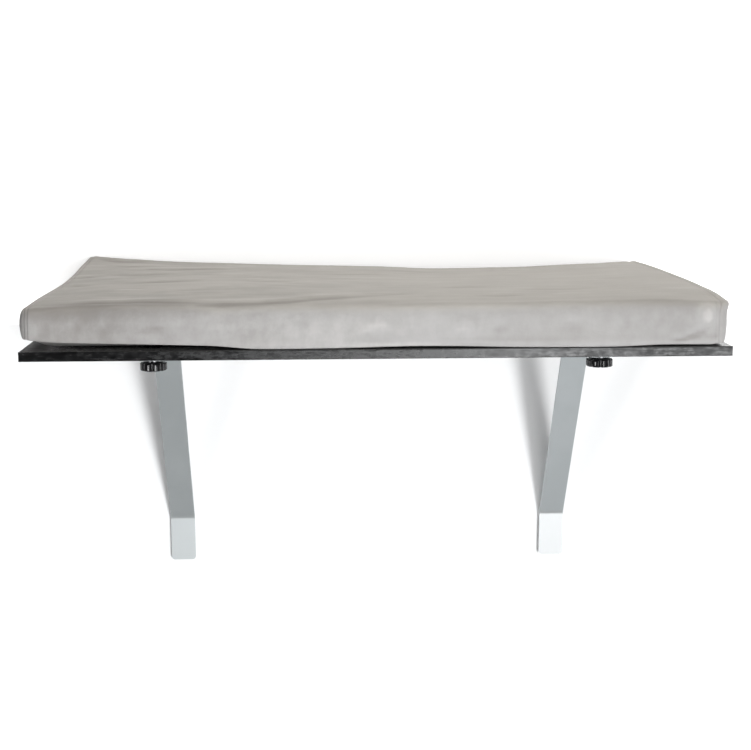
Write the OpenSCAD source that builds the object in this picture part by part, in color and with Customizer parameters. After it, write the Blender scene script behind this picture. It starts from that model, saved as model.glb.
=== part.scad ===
// Window mounted cat perch. An edged shelf rests with its rear on the window sill
// and is held by two bent flat bars that lean back to the wall under the sill.
// Each bar is clamped by a carriage bolt and a fluted knob, and slides in a stepped
// slot of the shelf to suit the sill. A zipped cushion lies on hook-and-loop tape.
// Sizes are millimetres: +X to the right, +Y towards the window, +Z up.
// The origin is the middle of the tape face that is stuck to the sill.

/* [Shelf] */
// Width of the shelf
shelf_w = 610; // [560:5:660]
// Depth of the shelf from its front edge to the window
shelf_d = 356; // [340:2:380]
// Thickness of the shelf
shelf_t = 8.5; // [8:0.25:12]
// Thickness of the edge banding
band_t = 1; // [0.6:0.1:2]
// Wood left under the bolt heads in the stepped slots
slot_floor_t = 4.2; // [3.6:0.1:4.6]

/* [Sill fixing] */
// Length of the tape pair on the sill
sill_tape_l = 480; // [300:10:520]
// Width of the tape pair on the sill
sill_tape_w = 38; // [25:1:50]
// Distance of the tape's middle line from the shelf's rear edge
sill_tape_inset = 44; // [35:1:60]
// Diameter of the screw holes at the shelf's rear corners
screw_hole_d = 4.5; // [3.5:0.1:5.5]
// Diameter of their countersinks
screw_sink_d = 9; // [8:0.5:11]
// Distance of the screw holes from the shelf's sides
screw_side_inset = 33; // [20:1:40]
// Distance of the screw holes from the shelf's rear edge
screw_rear_inset = 35; // [20:1:50]

/* [Brackets] */
// Distance of each bracket's middle from the shelf's middle
bracket_x = 195; // [170:1:215]
// Width of the flat bar
bar_w = 25; // [22:1:32]
// Thickness of the flat bar
bar_t = 3; // [2.5:0.25:4]
// Distance of the knobs from the shelf's front edge
knob_setback = 28; // [26:1:40]
// Distance from the shelf's front edge to the top of the slanted brace
brace_top_reach = 130; // [124:1:140]
// Distance from the shelf's front edge to the wall
wall_reach = 259; // [235:1:275]
// Height of the slanted brace
brace_drop = 208.5; // [180:0.5:240]
// Length of the foot on the wall
foot_l = 45.5; // [36:0.5:60]
// Inside radius of the bends
bend_r = 6; // [4:0.5:8]
// Radius of the bar's rounded corners
bar_corner_r = 3.5; // [2:0.5:6]
// Thickness of the pad between the foot and the wall
foot_pad_t = 3; // [2:0.5:5]
// How far the brackets can be slid towards the window
slide_range = 50; // [30:1:60]
// Distance from the clamp bolt to the guide rivet behind it
rivet_spacing = 70; // [55:1:76]

/* [Clamp] */
// Diameter of the carriage bolt
bolt_d = 6; // [5:0.5:8]
// Diameter of its domed head
bolt_head_d = 16; // [13:0.5:18]
// Height of its domed head
bolt_head_h = 3.4; // [2.4:0.1:3.6]
// Diameter of the washer
washer_d = 16; // [14:0.5:20]
// Thickness of the washer
washer_t = 1.2; // [0.8:0.1:2]
// Diameter of the knob over its lobes
knob_d = 23.6; // [22:0.2:30]
// Height of the knob's lobes
knob_lobe_h = 6.4; // [5:0.2:10]
// Height of the collar above the lobes
knob_collar_h = 1.6; // [1:0.1:3]
// Diameter of that collar
knob_collar_d = 14; // [13:0.5:17]
// Height of the crown under the lobes
knob_crown_h = 0.8; // [0.4:0.1:2]
// Number of flutes round the knob
knob_flutes = 8; // [6:1:10]
// Radius of each flute
knob_flute_r = 2.1; // [1.5:0.1:2.6]
// Angle of the knob at rest, from +X to the middle of a lobe
knob_turn = 20; // [0:1:45]

/* [Cushion] */
// Width of the cushion
cushion_w = 604; // [550:2:650]
// Depth of the cushion
cushion_d = 346; // [320:2:350]
// Thickness of the cushion at its lowest
cushion_t = 32.5; // [26:0.5:45]
// Distance of the cushion's front from the shelf's front edge
cushion_setback = 3; // [2:0.5:5]
// How far the rounded sides reach inwards
cushion_side_r = 15; // [10:1:20]
// Radius of the cushion's corners seen from above
cushion_corner_r = 20; // [14:1:28]
// Height of the crown in the middle
cushion_crown = 2; // [0:0.5:6]
// How far the front and the ends are drawn in between the corners
cushion_draw = 2.5; // [0:0.5:5]
// How far the rear left corner is plumped up
rear_left_rise = 15; // [0:1:20]
// How far the rear right corner is plumped up
rear_right_rise = 5.5; // [0:0.5:20]
// Thickness of the cover's cloth with its lining
cover_t = 1.4; // [1:0.1:2]
// Room between the cover and the foam
foam_gap = 0.4; // [0.3:0.1:1]

/* [Tapes and zip] */
// Thickness of the hook tapes
hook_t = 1.6; // [1:0.1:2.5]
// Thickness of the loop tapes
loop_t = 1.4; // [1:0.1:2.5]
// Thickness of the hook tapes under the cushion
cushion_hook_t = 1.3; // [0.8:0.1:2]
// Thickness of the loop tapes under the cushion
cushion_loop_t = 1.2; // [0.8:0.1:2]
// Length of the tapes under the cushion
cushion_tape_l = 330; // [200:10:340]
// Width of the tapes under the cushion
cushion_tape_w = 25; // [16:1:38]
// Distance of those tapes from the cushion's front and rear
cushion_tape_inset = 40; // [30:1:60]
// Distance from each end of the zip to the cushion's side
zip_end_inset = 42; // [32:1:100]
// Width of the zip's tape
zip_tape_w = 14; // [10:1:16]
// Distance from one zip tooth to the next
zip_pitch = 4; // [3:0.25:6]
// Height of the zip's teeth across the tape
zip_tooth_w = 5; // [4:0.5:7]
// How far the teeth stand out of the tape
zip_tooth_t = 1.2; // [0.8:0.1:2]
// Length of the zip's slider
slider_l = 11; // [9:0.5:14]
// Length of the zip's pull from its pivot
pull_l = 20; // [14:1:28]

/* [Hidden] */
// Clearances: between flat neighbours, round loose shafts, at a thread, in a press seat
gap = 0.3;
loose = 0.3;
thread_gap = 0.05;
seat_gap = 0.1;
// Overrun of every cut
over = 1;
$fn = 48;

// Heights and places of the shelf
under_z = hook_t + loop_t;
top_z = under_z + shelf_t;
rear_y = sill_tape_inset;
front_y = rear_y - shelf_d;
core_w = shelf_w - 2 * band_t;
core_d = shelf_d - 2 * band_t;
band_round_share = 0.8;
band_round = band_t * band_round_share;
screw_x = shelf_w / 2 - screw_side_inset;
screw_y = rear_y - screw_rear_inset;

// Stepped slot, and the bolt and rivet that run in it
neck_w = bolt_d;
slot_w = neck_w + 2 * loose;
rebate_w = bolt_head_d + 2 * loose;
rebate_z = under_z + slot_floor_t;
knob_y = front_y + knob_setback;
rivet_y = knob_y + rivet_spacing;
slot_ends_y = [knob_y - neck_w / 2, rivet_y + slide_range];
rivet_d = bolt_d - loose;
rivet_head_d = 13;
rivet_head_h = 1.6;
bolt_tip_r = 0.6;
arm_margin = 10;

// Bent bar in its own side view: u runs along +Y from the shelf's front edge, v up
foot_face_u = wall_reach - foot_pad_t - bar_t;
brace_angle = atan(brace_drop / (foot_face_u - brace_top_reach));
outer_r = bend_r + bar_t;
top_bend_u = brace_top_reach
    - (bend_r - outer_r * cos(brace_angle)) / sin(brace_angle);
top_bend_v = -outer_r;
low_bend_u = foot_face_u - bend_r;
low_bend_v = -(bend_r + (low_bend_u - brace_top_reach) * sin(brace_angle)) / cos(brace_angle);
arm_start_u = knob_setback - arm_margin;
bend_steps = 12;
foot_end_v = -brace_drop - foot_l;
pad_margin = 1.5;
pad_l = foot_l - 2 * pad_margin - bend_r;
pad_z = under_z + foot_end_v + pad_margin;
wall_y = front_y + wall_reach;

// Knob, insert and bolt, measured down from the washer
washer_z = under_z - bar_t;
knob_z = washer_z - washer_t;
knob_r = knob_d / 2;
knob_edge_r = 0.8;
knob_crown_z = knob_collar_h + knob_lobe_h;
knob_base_t = 1.6;
flute_place_share = 0.5;
insert_l = knob_crown_z + knob_crown_h - knob_base_t - gap;
insert_wall = 1.5;
insert_d = bolt_d + 2 * insert_wall;
insert_groove_t = 0.5;
insert_groove_d = insert_d - 2 * insert_groove_t;
insert_groove_l = 1.2;
bolt_end_z = knob_z - insert_l;

// Cushion
cushion_z = top_z + cushion_hook_t + cushion_loop_t;
cushion_front_y = front_y + cushion_setback;
cushion_y = cushion_front_y + cushion_d / 2;
cushion_rear_y = cushion_front_y + cushion_d;
tape_rows = [cushion_front_y + cushion_tape_inset, cushion_rear_y - cushion_tape_inset];
left_rise_power = 3;
right_rise_power = 5;
side_power = 0.8;
corner_steps = 3;
long_steps = 8;
short_steps = 6;
side_rings = 7;
top_shares = [0.12, 0.3, 0.52, 0.76];
base_shares = [0.3];

// Zip
zip_l = cushion_w - 2 * zip_end_inset;
zip_z = cushion_z + cushion_t / 2;
zip_teeth = floor((zip_l - 2 * zip_pitch) / zip_pitch);
tooth_share = 0.5;
tape_t = cover_t - gap;
tape_y = cushion_rear_y - tape_t;
slider_wall = 0.9;
slider_nose_share = 0.62;
slider_x = zip_teeth * zip_pitch / 2 - slider_l;
slider_y = cushion_rear_y + zip_tooth_t + gap;
slider_w = zip_tooth_w + 2 * (gap + slider_wall);
bail_r = 0.7;
bail_gap = 0.3;
pull_t = 1.3;
pull_w = 5;
pull_eye_r = 1.8;
bail_y = slider_y + slider_wall + bail_gap + pull_eye_r;
bail_h = pull_w - 2 * slider_wall;

// A box from its low corner, with its size along X, Y and Z
module box(low, size) {
    translate(low) cube(size);
}

// A flat strip lying in the X and Y plane, centred on x = 0 and on the line y
module strip(l, w, t, y, z) {
    box([-l / 2, y - w / 2, z], [l, w, t]);
}

// Everything that belongs to one bracket is drawn at x = 0 and placed by its side
module at_side(side) {
    translate([side * bracket_x, 0, 0]) children();
}

// An upright slot with round ends along Y
module slot_cut(w, z, h) {
    for (y = slot_ends_y)
        translate([0, y, z]) cylinder(d = w, h = h);
    box([-w / 2, slot_ends_y[0], z], [w, slot_ends_y[1] - slot_ends_y[0], h]);
}

module screw_hole(x) {
    sink_h = (screw_sink_d - screw_hole_d) / 2;
    translate([x, screw_y, under_z - over])
        cylinder(d = screw_hole_d, h = shelf_t + 2 * over);
    translate([x, screw_y, top_z - sink_h])
        cylinder(d1 = screw_hole_d, d2 = screw_sink_d + 2 * over, h = sink_h + over);
}

// Core of the shelf with its stepped slots and countersunk screw holes
module board() {
    color("#2b2b2d") difference() {
        box([-core_w / 2, front_y + band_t, under_z], [core_w, core_d, shelf_t]);
        for (side = [-1, 1]) {
            at_side(side) {
                slot_cut(slot_w, under_z - over, shelf_t + 2 * over);
                slot_cut(rebate_w, rebate_z, shelf_t + over);
            }
            screw_hole(side * screw_x);
        }
    }
}

// Edge banding of length l along +X, its rounded face towards -Y
module edge_band(l) {
    rotate([90, 0, 90]) linear_extrude(l) difference() {
        square([band_t, shelf_t]);
        for (side = [0, 1]) translate([0, side * shelf_t]) mirror([0, side]) difference() {
            translate([-over, -over]) square(band_round + over);
            translate([band_round, band_round]) circle(band_round);
        }
    }
}

module front_edge_band() {
    color("#242426") translate([-shelf_w / 2, front_y, under_z]) edge_band(shelf_w);
}

module rear_edge_band() {
    color("#242426") translate([shelf_w / 2, rear_y, under_z])
        rotate([0, 0, 180]) edge_band(shelf_w);
}

module left_edge_band() {
    color("#242426") translate([-shelf_w / 2, rear_y - band_t, under_z])
        rotate([0, 0, -90]) edge_band(core_d);
}

module right_edge_band() {
    color("#242426") translate([shelf_w / 2, front_y + band_t, under_z])
        rotate([0, 0, 90]) edge_band(core_d);
}

// The tape pair on the sill: hooks on the shelf, loops stuck to the sill
module sill_hook_tape() {
    color("#1b1b1c") strip(sill_tape_l, sill_tape_w, hook_t, 0, loop_t);
}

module sill_loop_tape() {
    color("#303033") strip(sill_tape_l, sill_tape_w, loop_t, 0, 0);
}

module cushion_hook_tapes() {
    color("#1b1b1c") for (y = tape_rows)
        strip(cushion_tape_l, cushion_tape_w, cushion_hook_t, y, top_z);
}

module cushion_loop_tapes() {
    color("#59595b") for (y = tape_rows)
        strip(cushion_tape_l, cushion_tape_w, cushion_loop_t, y, top_z + cushion_hook_t);
}

// Points along an arc about a centre, between two directions
function arc(centre, r, from_angle, to_angle) = [
    for (k = [0 : bend_steps])
        let (a = from_angle + (to_angle - from_angle) * k / bend_steps)
        centre + r * [cos(a), sin(a)]
];

// Side view of the bent bar: arm, bend, slanted brace, bend, upright foot
module bar_section() {
    normal_angle = 90 - brace_angle;
    top_centre = [top_bend_u, top_bend_v];
    low_centre = [low_bend_u, low_bend_v];
    polygon(concat(
        [[arm_start_u, 0]],
        arc(top_centre, outer_r, 90, normal_angle),
        arc(low_centre, outer_r, normal_angle, 0),
        [[foot_face_u + bar_t, foot_end_v], [foot_face_u, foot_end_v]],
        arc(low_centre, bend_r, 0, normal_angle),
        arc(top_centre, bend_r, normal_angle, 90),
        [[arm_start_u, -bar_t]]
    ));
}

// What rounds off one square corner: cut from the corner at the origin inwards along +X and +Y
module corner_cut(h) {
    difference() {
        translate([-over, -over, 0])
            cube([bar_corner_r + over, bar_corner_r + over, h]);
        translate([bar_corner_r, bar_corner_r, -over])
            cylinder(r = bar_corner_r, h = h + 2 * over);
    }
}

// Flat bar bent into arm, brace and foot, with rounded ends and its two holes
module bracket() {
    difference() {
        translate([-bar_w / 2, front_y, under_z])
            rotate([90, 0, 90]) linear_extrude(bar_w) bar_section();
        for (side = [0, 1]) mirror([side, 0, 0]) {
            translate([-bar_w / 2, front_y + arm_start_u, under_z - bar_t - over])
                corner_cut(bar_t + 2 * over);
            translate([-bar_w / 2, wall_y - foot_pad_t + over, under_z + foot_end_v])
                rotate([90, 0, 0]) corner_cut(bar_t + 2 * over);
        }
        translate([0, knob_y, under_z - bar_t - over])
            cylinder(d = bolt_d + 2 * loose, h = bar_t + 2 * over);
        translate([0, rivet_y, under_z - bar_t - over])
            cylinder(d = rivet_d + 2 * seat_gap, h = bar_t + 2 * over);
    }
}

module left_bracket() { color("#b9bdc1") at_side(-1) bracket(); }
module right_bracket() { color("#b9bdc1") at_side(1) bracket(); }

// Carriage bolt: domed head on the slot's step, square neck in the slot, round shank
module carriage_bolt() {
    neck_h = slot_floor_t - gap;
    dome_r = (pow(bolt_head_d / 2, 2) + pow(bolt_head_h, 2)) / (2 * bolt_head_h);
    translate([0, knob_y, 0]) {
        translate([0, 0, rebate_z]) intersection() {
            translate([0, 0, bolt_head_h - dome_r]) sphere(dome_r);
            cylinder(d = bolt_head_d + over, h = bolt_head_h + over);
        }
        translate([-neck_w / 2, -neck_w / 2, rebate_z - neck_h]) cube([neck_w, neck_w, neck_h]);
        translate([0, 0, bolt_end_z + bolt_tip_r])
            cylinder(d = bolt_d, h = rebate_z - neck_h - bolt_end_z - bolt_tip_r);
        translate([0, 0, bolt_end_z])
            cylinder(d1 = bolt_d - 2 * bolt_tip_r, d2 = bolt_d, h = bolt_tip_r);
    }
}

module left_carriage_bolt() { color("#c9ccd0") at_side(-1) carriage_bolt(); }
module right_carriage_bolt() { color("#c9ccd0") at_side(1) carriage_bolt(); }

// Guide rivet: its flange lies on the slot's step, its shank keeps the arm in line
module guide_rivet() {
    translate([0, rivet_y, 0]) {
        translate([0, 0, rebate_z]) cylinder(d = rivet_head_d, h = rivet_head_h);
        translate([0, 0, under_z - bar_t])
            cylinder(d = rivet_d, h = bar_t + slot_floor_t);
        translate([0, 0, under_z - bar_t - rivet_head_h])
            cylinder(d1 = rivet_d, d2 = rivet_head_d - rivet_head_h, h = rivet_head_h);
    }
}

module left_guide_rivet() { color("#aeb2b6") at_side(-1) guide_rivet(); }
module right_guide_rivet() { color("#aeb2b6") at_side(1) guide_rivet(); }

// Soft pad between foot and wall, round at its lower corners like the foot
module foot_pad() {
    pad_w = bar_w - 2 * pad_margin;
    pad_corner_r = bar_corner_r - pad_margin;
    translate([0, wall_y, pad_z]) rotate([90, 0, 0]) linear_extrude(foot_pad_t) {
        translate([-pad_w / 2, pad_corner_r]) square([pad_w, pad_l - 2 * pad_corner_r]);
        translate([pad_corner_r - pad_w / 2, 0]) square([pad_w - 2 * pad_corner_r, pad_l]);
        for (x = [-1, 1], z = [pad_corner_r, pad_l - pad_corner_r])
            translate([x * (pad_w / 2 - pad_corner_r), z]) circle(pad_corner_r);
    }
}

module left_foot_pad() { color("#2e2e30") at_side(-1) foot_pad(); }
module right_foot_pad() { color("#2e2e30") at_side(1) foot_pad(); }

module washer() {
    translate([0, knob_y, washer_z - washer_t]) difference() {
        cylinder(d = washer_d, h = washer_t);
        translate([0, 0, -over]) cylinder(d = bolt_d + 2 * loose, h = washer_t + 2 * over);
    }
}

module left_washer() { color("#d4d6d9") at_side(-1) washer(); }
module right_washer() { color("#d4d6d9") at_side(1) washer(); }

// Fluted knob: collar, lobes with chamfered rims and a low crown, turned as one profile
module knob() {
    translate([0, knob_y, knob_z]) rotate(knob_turn) difference() {
        rotate_extrude() polygon([
            [0, 0],
            [knob_collar_d / 2, 0],
            [knob_collar_d / 2, -knob_collar_h],
            [knob_r - knob_edge_r, -knob_collar_h],
            [knob_r, -knob_collar_h - knob_edge_r],
            [knob_r, -knob_crown_z + knob_edge_r],
            [knob_r - knob_edge_r, -knob_crown_z],
            [insert_d / 2, -knob_crown_z - knob_crown_h],
            [0, -knob_crown_z - knob_crown_h]
        ]);
        for (i = [0 : knob_flutes - 1])
            rotate(360 * (i + flute_place_share) / knob_flutes)
                translate([knob_r, 0, -knob_crown_z - over])
                    cylinder(r = knob_flute_r, h = knob_lobe_h + over);
        translate([0, 0, -insert_l - gap])
            cylinder(d = insert_d + 2 * seat_gap, h = insert_l + gap + over);
    }
}

module left_knob() { color("#161617") at_side(-1) knob(); }
module right_knob() { color("#161617") at_side(1) knob(); }

// Brass insert with a retaining groove, flush with the knob's collar
module knob_insert() {
    translate([0, knob_y, knob_z]) difference() {
        translate([0, 0, -insert_l]) cylinder(d = insert_d, h = insert_l);
        translate([0, 0, -(insert_l + insert_groove_l) / 2]) difference() {
            cylinder(d = insert_d + over, h = insert_groove_l);
            translate([0, 0, -over])
                cylinder(d = insert_groove_d, h = insert_groove_l + 2 * over);
        }
        translate([0, 0, -insert_l - over])
            cylinder(d = bolt_d + 2 * thread_gap, h = insert_l + 2 * over);
    }
}

module left_knob_insert() { color("#c8a24a") at_side(-1) knob_insert(); }
module right_knob_insert() { color("#c8a24a") at_side(1) knob_insert(); }

// Cushion outline seen from above, drawn in by inset i. It runs anticlockwise from
// the front left corner: a corner arc, then points along the side that follows it.
// The front and the ends bend inwards between the corners, the zipped rear is straight.
function side_pull(turn, t) = (turn == 2 ? 0 : cushion_draw) * sin(180 * t);
function corner_points(hw, hd, r, turn) = [
    for (k = [0 : corner_steps])
        let (a = 180 + 90 * turn + 90 * k / corner_steps)
        [(turn == 0 || turn == 3 ? -1 : 1) * (hw - r) + r * cos(a),
         (turn < 2 ? -1 : 1) * (hd - r) + r * sin(a)]
];
function side_points(hw, hd, r, turn) =
    let (
        steps = turn % 2 == 0 ? long_steps : short_steps,
        p = corner_points(hw, hd, r, turn)[corner_steps],
        q = corner_points(hw, hd, r, (turn + 1) % 4)[0],
        pull = [[0, 1], [-1, 0], [0, -1], [1, 0]][turn]
    )
    [for (k = [1 : steps - 1]) let (t = k / steps) p + (q - p) * t + pull * side_pull(turn, t)];
function outline(hw, hd, r) = [
    for (turn = [0 : 3])
        for (p = concat(corner_points(hw, hd, r, turn), side_points(hw, hd, r, turn))) p
];
outline_count = 4 * (corner_steps + 1) + 2 * (long_steps - 1) + 2 * (short_steps - 1);

// Height of the top above the underside, at a place given as shares of half width and depth
function top_height(sx, sy, t) =
    t + cushion_crown * (1 - sx * sx) * (1 - sy * sy)
    + pow((1 + sy) / 2, 2) * (
        rear_left_rise * pow((1 - sx) / 2, left_rise_power)
        + rear_right_rise * pow((1 + sx) / 2, right_rise_power)
    );

// Rounded side: for each ring how far it is set in and how high it lies, as shares
function side_profile() = [
    for (k = [0 : side_rings - 1])
        let (a = -90 + 180 * k / (side_rings - 1))
        [1 - pow(max(cos(a), 0), side_power), (1 + sign(a) * pow(abs(sin(a)), side_power)) / 2]
];
function limit(v) = min(max(v, -1), 1);

// One ring of points, set in by inset i, at height share h of a form inset by g all round
function form_ring(i, h, g) =
    let (hw = cushion_w / 2 - g, hd = cushion_d / 2 - g)
    [for (p = outline(hw - i, hd - i, max(cushion_corner_r - g - i, gap)))
        [p.x, cushion_y + p.y,
         cushion_z + g + h * top_height(limit(p.x / hw), limit(p.y / hd), cushion_t - 2 * g)]];

// Closed cushion form, inset by g: rings from the middle of the base, round the side
// and over the top to its middle, joined by triangles
module cushion_form(g) {
    side_r = cushion_side_r - g;
    inward = cushion_d / 2 - cushion_side_r;
    rings = concat(
        [for (s = base_shares) form_ring(side_r + s * inward, 0, g)],
        [for (s = side_profile()) form_ring(side_r * s[0], s[1], g)],
        [for (s = top_shares) form_ring(side_r + s * inward, 1, g)]
    );
    n = outline_count;
    m = len(rings);
    base_z = cushion_z + g;
    crown_z = base_z + top_height(0, 0, cushion_t - 2 * g);
    points = concat(
        [for (ring = rings) for (p = ring) p],
        [[0, cushion_y, base_z], [0, cushion_y, crown_z]]
    );
    faces = concat(
        [for (i = [0 : n - 1]) [m * n, i, (i + 1) % n]],
        [for (j = [0 : m - 2], i = [0 : n - 1], half = [0, 1])
            let (a = j * n + i, b = j * n + (i + 1) % n)
            half == 0 ? [a, a + n, b] : [b, a + n, b + n]],
        [for (i = [0 : n - 1]) [m * n + 1, (m - 1) * n + (i + 1) % n, (m - 1) * n + i]]
    );
    polyhedron(points, faces);
}

module foam_core() {
    color("#e6dfcf") cushion_form(cover_t + foam_gap);
}

// Sewn cover: a shell with the zip's opening along the rear
module cushion_cover() {
    color("#a9a5a1") difference() {
        cushion_form(0);
        cushion_form(cover_t);
        box([-zip_l / 2, cushion_rear_y - cushion_side_r / 2, zip_z - zip_tape_w / 2],
            [zip_l, cushion_side_r, zip_tape_w]);
    }
}

// Zip: a tape in the cover's opening and a row of moulded teeth
module cover_zip() {
    color("#8f8c89") {
        box([-zip_l / 2, tape_y, zip_z - zip_tape_w / 2], [zip_l, tape_t, zip_tape_w]);
        translate([-zip_teeth * zip_pitch / 2, cushion_rear_y, zip_z - zip_tooth_w / 2])
            linear_extrude(zip_tooth_w) polygon(concat(
                [[0, -tape_t / 2]],
                [for (i = [0 : zip_teeth - 1]) each [
                    [i * zip_pitch, 0],
                    [(i + (1 - tooth_share) / 2) * zip_pitch, 0],
                    [(i + (1 - tooth_share) / 2) * zip_pitch, zip_tooth_t],
                    [(i + (1 + tooth_share) / 2) * zip_pitch, zip_tooth_t],
                    [(i + (1 + tooth_share) / 2) * zip_pitch, 0]
                ]],
                [[zip_teeth * zip_pitch, 0], [zip_teeth * zip_pitch, -tape_t / 2]]
            ));
    }
}

// Slider: a plate narrowing towards its nose, cheeks over the teeth, and the pull's bail
module zip_slider() {
    nose_w = slider_w * slider_nose_share;
    color("#8b8e91") {
        translate([slider_x, slider_y, zip_z]) {
            rotate([90, 0, 0]) mirror([0, 0, 1]) linear_extrude(slider_wall) polygon([
                [0, -nose_w / 2],
                [slider_l / 2, -slider_w / 2],
                [slider_l, -slider_w / 2],
                [slider_l, slider_w / 2],
                [slider_l / 2, slider_w / 2],
                [0, nose_w / 2]
            ]);
            for (side = [0, 1]) mirror([0, 0, side])
                box([slider_l / 2, -zip_tooth_t, zip_tooth_w / 2 + gap],
                    [slider_l / 2, zip_tooth_t + slider_wall, slider_wall]);
        }
        translate([slider_x + slider_l / 2, bail_y, zip_z - bail_h / 2])
            cylinder(r = bail_r, h = bail_h);
        for (side = [0, 1]) translate([0, 0, zip_z]) mirror([0, 0, side])
            box([slider_x + slider_l / 2 - bail_r, slider_y, bail_h / 2 - slider_wall],
                [2 * bail_r, bail_y + bail_r - slider_y, slider_wall]);
    }
}

// Pull: an eye round the bail and a tongue that lies along the zip
module zip_pull() {
    eye_h = bail_h - 2 * slider_wall - 2 * bail_gap;
    tongue_start = pull_eye_r;
    tip_r = pull_w / 2;
    color("#8b8e91") translate([slider_x + slider_l / 2, bail_y, zip_z]) difference() {
        union() {
            translate([0, 0, -eye_h / 2]) cylinder(r = pull_eye_r, h = eye_h);
            box([-pull_l / 2, -pull_t / 2, -eye_h / 2], [pull_l / 2, pull_t, eye_h]);
            box([tip_r - pull_l, -pull_t / 2, -pull_w / 2],
                [pull_l - tip_r - slider_l / 2, pull_t, pull_w]);
            translate([tip_r - pull_l, pull_t / 2, 0]) rotate([90, 0, 0])
                cylinder(r = tip_r, h = pull_t);
        }
        translate([0, 0, -eye_h]) cylinder(r = bail_r + bail_gap, h = 2 * eye_h);
    }
}

board();
front_edge_band();
rear_edge_band();
left_edge_band();
right_edge_band();
sill_hook_tape();
sill_loop_tape();
cushion_hook_tapes();
left_bracket();
right_bracket();
left_carriage_bolt();
right_carriage_bolt();
left_guide_rivet();
right_guide_rivet();
left_foot_pad();
right_foot_pad();
left_washer();
right_washer();
left_knob();
right_knob();
left_knob_insert();
right_knob_insert();
foam_core();
cushion_cover();
cushion_loop_tapes();
cover_zip();
zip_slider();
zip_pull();
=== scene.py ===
"""The looks of a window mounted cat perch: a velour cushion on a black laminate shelf, held up by two satin
flat-bar brackets that fluted knobs clamp.

Everything is in metres, in the frame of the solids: +X to the right, +Y towards the window, +Z up.
"""

import math

import bpy
import numpy as np
from mathutils import Matrix, Vector


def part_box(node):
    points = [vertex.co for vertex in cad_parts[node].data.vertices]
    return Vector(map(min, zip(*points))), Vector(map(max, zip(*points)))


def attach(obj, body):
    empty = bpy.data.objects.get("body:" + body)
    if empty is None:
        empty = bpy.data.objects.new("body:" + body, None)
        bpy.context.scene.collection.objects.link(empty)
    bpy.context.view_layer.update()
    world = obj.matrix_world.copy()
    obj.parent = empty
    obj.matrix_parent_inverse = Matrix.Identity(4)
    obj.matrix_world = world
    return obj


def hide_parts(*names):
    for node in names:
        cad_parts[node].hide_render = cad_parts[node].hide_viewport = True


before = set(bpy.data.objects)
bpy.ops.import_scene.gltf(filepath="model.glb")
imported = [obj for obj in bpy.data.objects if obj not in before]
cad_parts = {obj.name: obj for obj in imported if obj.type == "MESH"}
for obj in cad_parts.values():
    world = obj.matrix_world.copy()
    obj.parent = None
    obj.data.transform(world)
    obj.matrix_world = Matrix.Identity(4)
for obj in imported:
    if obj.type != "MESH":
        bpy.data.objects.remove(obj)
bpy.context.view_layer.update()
MM = 0.001


def span(node):
    """The lowest and highest corner of a solid, as two arrays."""
    low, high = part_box(node)
    return np.array(low), np.array(high)


BOARD = span("board")
SHELF = (span("left_edge_band")[0], span("right_edge_band")[1])
COVER = span("cushion_cover")
BOARD_TOP = BOARD[1][2]
WALL_Y = span("left_foot_pad")[1][1]
BRACKETS = [span("left_bracket"), span("right_bracket")]
# Height of each bracket's lower bend, where the upright foot begins
BEND_Z = -204 * MM


# Node building


class Nodes:
    """Adds nodes to a node tree, and links them by passing an output as a value."""

    def __init__(self, tree):
        self.tree = tree

    def add(self, kind, **values):
        """A node of that kind. A value named in_NAME sets or links an input, another sets a property."""
        node = self.tree.nodes.new(kind)
        for name, value in values.items():
            if not name.startswith("in_"):
                setattr(node, name, value)
        for name, value in values.items():
            if name.startswith("in_"):
                self.put(node, name[3:], value)
        return node

    def put(self, node, name, value):
        """Sets or links one input, found by its number or by its name with _ for a space."""
        socket = node.inputs[int(name) if name.isdigit() else name.replace("_", " ")]
        if isinstance(value, bpy.types.NodeSocket):
            self.tree.links.new(value, socket)
        else:
            socket.default_value = value

    def math(self, operation, a, b=0.0):
        return self.add("ShaderNodeMath", operation=operation, in_0=a, in_1=b).outputs[0]

    def plus(self, total, *terms):
        for term in terms:
            total = self.math("ADD", total, term)
        return total

    def times(self, product, *factors):
        for factor in factors:
            product = self.math("MULTIPLY", product, factor)
        return product

    def vector(self, operation, a, b=(0.0, 0.0, 0.0)):
        return self.add("ShaderNodeVectorMath", operation=operation, in_0=a, in_1=b).outputs[0]

    def place(self):
        """The place on the piece, in the frame of the solids."""
        return self.add("ShaderNodeTexCoord").outputs["Object"]

    def parts(self, vector):
        """A vector's x, y and z."""
        return self.add("ShaderNodeSeparateXYZ", in_0=vector).outputs

    def upward(self):
        """How far the surface faces up: the z of its normal."""
        return self.parts(self.add("ShaderNodeNewGeometry").outputs["Normal"])[2]

    def noise(self, place, scale, detail=3.0, roughness=0.55, distortion=0.0):
        look = {"in_Detail": detail, "in_Roughness": roughness, "in_Distortion": distortion}
        return self.add("ShaderNodeTexNoise", in_Vector=place, in_Scale=scale, **look).outputs["Fac"]

    def grain(self, place, stretch, scale=1.0, **look):
        """Noise whose place is stretched by three factors."""
        return self.noise(self.vector("MULTIPLY", place, stretch), scale, **look)

    def remap(self, value, low, high, to_low=0.0, to_high=1.0, smooth=True):
        """The value from low to high turned into to_low to to_high, and held beyond them."""
        kind = "SMOOTHSTEP" if smooth else "LINEAR"
        limits = {"in_1": low, "in_2": high, "in_3": to_low, "in_4": to_high}
        return self.add("ShaderNodeMapRange", interpolation_type=kind, in_0=value, **limits).outputs[0]

    def mix(self, share, a, b):
        """Colour a with a share of colour b over it."""
        return self.add("ShaderNodeMix", data_type="RGBA", in_0=share, in_6=a, in_7=b).outputs[2]

    def bump(self, height, distance, strength):
        values = {"in_Height": height, "in_Distance": distance, "in_Strength": strength}
        return self.add("ShaderNodeBump", **values).outputs[0]


def colour(red, green, blue):
    return (red, green, blue, 1.0)


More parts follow.
